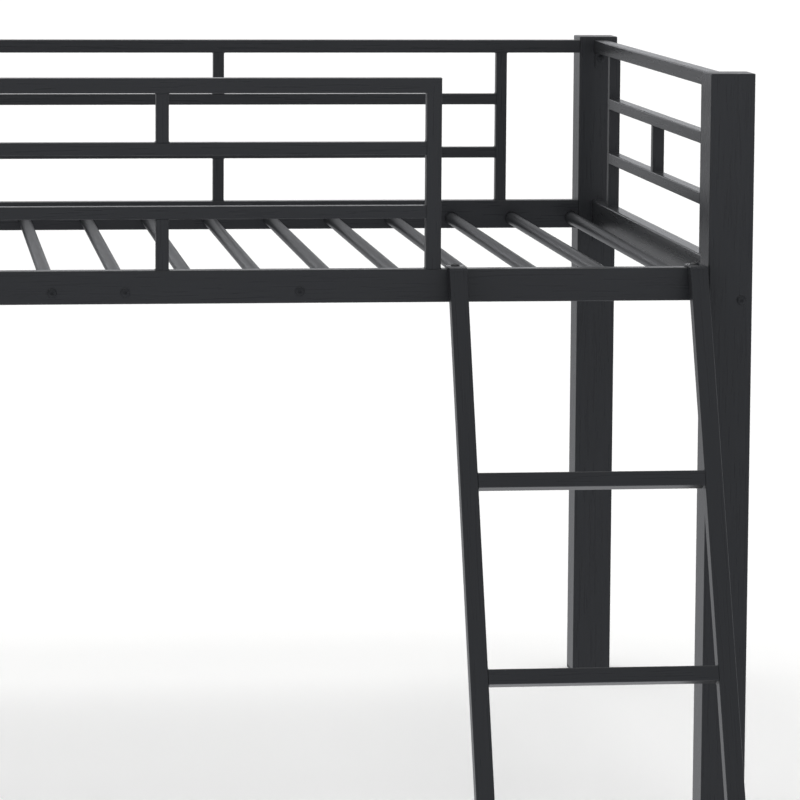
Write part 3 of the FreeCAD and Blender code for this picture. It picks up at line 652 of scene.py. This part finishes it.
def bent_hook(node):
    """A bent plate in the place of a measured hook."""
    low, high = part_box(node)
    thickness = high.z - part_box("side_rail_front")[1].z
    profile = [(low.y, high.z), (high.y, high.z), (high.y, low.z), (high.y - thickness, low.z),
               (high.y - thickness, high.z - thickness), (low.y, high.z - thickness)]
    shape = bmesh.new()
    side = shape.faces.new([shape.verts.new((low.x, y, z)) for y, z in profile])
    grown = bmesh.ops.extrude_face_region(shape, geom=[side])["geom"]
    bmesh.ops.translate(shape, vec=(high.x - low.x, 0, 0), verts=new_corners(grown))
    for y, z, radius in ((high.y, high.z, HOOK_THINNING * thickness + HOOK_INSIDE_BEND),
                         (high.y - thickness, high.z - thickness, HOOK_INSIDE_BEND)):
        bend = [edge for edge in shape.edges
                if all(abs(corner.co.y - y) < SAME_PLACE and abs(corner.co.z - z) < SAME_PLACE
                       for corner in edge.verts)]
        round_edges(shape, bend, radius, segments=6)
    bmesh.ops.recalc_face_normals(shape, faces=shape.faces[:])
    rims = [edge for edge in shape.edges if edge.calc_face_angle(0.0) > SHARP]
    round_edges(shape, rims, HOOK_RIM, segments=2)
    return shape


for side in ("left", "right"):
    node = "ladder_hook_" + side
    hand_over("bent_hook_" + side, bent_hook(node), coat_along_y, (node,))

# %% [markdown]
# ## Ladder feet
#
# A rubber foot closes each stringer at the floor. Its measured shape is right but sharp, so a copy
# is softened: the copy's triangles are joined, flat neighbours are dissolved into whole faces, and
# every sharp edge gets a small rounded bevel.

# %% Soften the ladder feet
FOOT_ROUNDING = 0.8 * MM
FLAT_ENOUGH = math.radians(1)


def softened(node, rounding):
    """A merged copy of a measured node with its sharp edges rounded."""
    shape = merged_copy(node)
    bmesh.ops.dissolve_limit(shape, angle_limit=FLAT_ENOUGH, verts=shape.verts[:], edges=shape.edges[:])
    sharp = [edge for edge in shape.edges if edge.calc_face_angle(0.0) > SHARP]
    round_edges(shape, sharp, rounding, segments=3, clamp=True)
    return shape


hand_over("rubber_ladder_feet", softened("ladder_feet", FOOT_ROUNDING), foot_plastic,
          ("ladder_feet",))

# %% [markdown]
# ## Weld beads
#
# Every rail and bar of the guards is welded where it meets another tube. A bead fills the inner
# corner on two sides of the joint, and its top is a row of small ripples left as the weld pool
# moved. One bead is a quarter disc, spun from a single point, that is extruded step by step along
# the corner. Each step is scaled about the corner line a little up or down, and the ends taper. The
# middle of the arc is pulled in a little, because a bead is flatter than a quarter disc.

# %% Make one weld bead
BEAD_LEG = 1.4 * MM
BEAD_STEPS = 18
BEAD_RIPPLES = 6
BEAD_SINK = 0.06 * MM
BEAD_TIP = 0.35
BEAD_GROWTH = 3.2
RIPPLE_HEIGHT = 0.10
ARC_STEPS = 4
ARC_ENDS = 0.2           # corners of the arc nearer to an axis than this are its ends
ARC_FLATTENING = 0.86


def in_order(face):
    """A section's corners in their first order: the inner corner, the toe, then along the arc."""
    ring = list(face.verts)
    start = min(range(len(ring)), key=lambda place: ring[place].co.x + ring[place].co.y)
    ring = ring[start:] + ring[:start]
    return ring if ring[1].co.x > ring[-1].co.x else [ring[0]] + ring[:0:-1]


def weld_bead(length):
    """A bead along Z in the corner between the X and Y planes, with its middle at the origin."""
    shape = bmesh.new()
    corner = shape.verts.new((-BEAD_SINK, -BEAD_SINK, 0.0))
    toe = shape.verts.new((1.0, -BEAD_SINK, 0.0))
    bmesh.ops.spin(shape, geom=[toe], cent=(0, 0, 0), axis=(0, 0, 1), angle=math.pi / 2, steps=ARC_STEPS,
                   use_duplicate=False)
    arc = sorted((point for point in shape.verts if point is not corner),
                 key=lambda point: math.atan2(point.co.y, point.co.x))
    face = shape.faces.new([corner] + arc)
    ring = list(face.verts)
    outline = [(point.co.x, point.co.y) for point in ring]
    for step in range(BEAD_STEPS + 1):
        along = step / BEAD_STEPS
        taper = min(1.0, BEAD_TIP + BEAD_GROWTH * min(along, 1 - along)) ** 0.5
        ripple = 1.0 + RIPPLE_HEIGHT * math.cos(2 * math.pi * BEAD_RIPPLES * along)
        for point, (x, y) in zip(ring, outline):
            pull = ARC_FLATTENING if x > ARC_ENDS and y > ARC_ENDS else 1.0
            reach = BEAD_LEG * taper * ripple * pull
            point.co = Vector((x * reach if x > 0 else x, y * reach if y > 0 else y,
                               (along - 0.5) * length))
        if step < BEAD_STEPS:
            grown = bmesh.ops.extrude_face_region(shape, geom=[face])["geom"]
            if step > 0:
                bmesh.ops.delete(shape, geom=[face], context="FACES_ONLY")
            face = next(part for part in grown if isinstance(part, bmesh.types.BMFace))
            ring = in_order(face)
    return as_pattern("bead_pattern", shape)


bead_patterns = {}


def bead_of(length):
    """The pattern for a bead of this length, made once."""
    key = round(length / MM, 1)
    if key not in bead_patterns:
        bead_patterns[key] = weld_bead(length)
    return bead_patterns[key]


print("a bead has", BEAD_STEPS, "steps and", BEAD_RIPPLES, "ripples")

# %% [markdown]
# A joint is described by three directions: along the tube toward its middle, outward from the tube's
# side, and across the panel, which is the way the bead runs. Those three are the columns of the
# bead's matrix. Both sides of a tube's end get one bead.

# %% Lay beads at the ends of tubes
TUBE_CORNER = 1.6 * MM
ACROSS_X, ACROSS_Y = 0, 1
BOTH, FOOT_ONLY = (0, 1), (0,)


def lay_beads(shape, low, high, run, ends, turn=Matrix.Identity(4)):
    """Beads at a straight tube's ends: run is the axis that they follow, and turn tilts the joint."""
    size = high - low
    long_axis = max(range(3), key=lambda side: size[side])
    out_axis = 3 - long_axis - run
    middle = (low + high) / 2
    pattern = bead_of(size[run] - 2 * TUBE_CORNER)
    for end in ends:
        inward = Vector([0.0, 0.0, 0.0])
        inward[long_axis] = 1.0 if end == 0 else -1.0
        for side in (1, -1):
            outward = Vector([0.0, 0.0, 0.0])
            outward[out_axis] = side
            across = inward.cross(outward)
            root = middle.copy()
            root[long_axis] = low[long_axis] if end == 0 else high[long_axis]
            root[out_axis] += side * size[out_axis] / 2
            joint = Matrix((inward, outward, across)).transposed().to_4x4()
            joint.translation = root
            add_copy(shape, pattern, turn @ joint)


WELDED = {
    "welds_back_guard": (("back_guard_uprights", ACROSS_Y, BOTH),
                         ("back_guard_mid_rails", ACROSS_Y, BOTH),
                         ("back_guard_bars", ACROSS_Y, BOTH)),
    "welds_front_guard": (("front_guard_uprights", ACROSS_Y, FOOT_ONLY),
                          ("front_guard_bars", ACROSS_Y, BOTH),
                          ("front_guard_middle_rail", ACROSS_Y, BOTH),
                          ("front_guard_bottom_rail", ACROSS_Y, BOTH)),
    "welds_end_right": (("end_uprights_right", ACROSS_X, BOTH), ("end_mid_rails_right", ACROSS_X, BOTH)),
    "welds_end_left": (("end_uprights_left", ACROSS_X, BOTH), ("end_mid_rails_left", ACROSS_X, BOTH)),
    "welds_end_centre": (("end_centre_bars", ACROSS_X, BOTH),),
}
for name, tubes in WELDED.items():
    beads = bmesh.new()
    for node, run, ends in tubes:
        for points in separate_pieces(node):
            lay_beads(beads, *extent(points), run, ends)
    hand_over(name, beads, coated_weld)
print("bead lengths:", sorted(bead_patterns), "mm")

# %% [markdown]
# The rungs lean with the ladder, so their beads are laid on a level rung of the same size and then
# turned about the rung's middle by the ladder's angle.

# %% Weld the rungs
RUNG_SIZE = 19.0 * MM

rung_beads = bmesh.new()
for node in ("ladder_rung_upper", "ladder_rung_lower"):
    low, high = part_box(node)
    middle = (low + high) / 2
    half = Vector(((high.x - low.x) / 2, RUNG_SIZE / 2, RUNG_SIZE / 2))
    lean = Matrix.Rotation(-LADDER_LEAN, 4, "X")
    tilt = Matrix.Translation(middle) @ lean @ Matrix.Translation(-middle)
    lay_beads(rung_beads, middle - half, middle + half, ACROSS_Y, BOTH, tilt)
hand_over("welds_ladder", rung_beads, coated_weld)
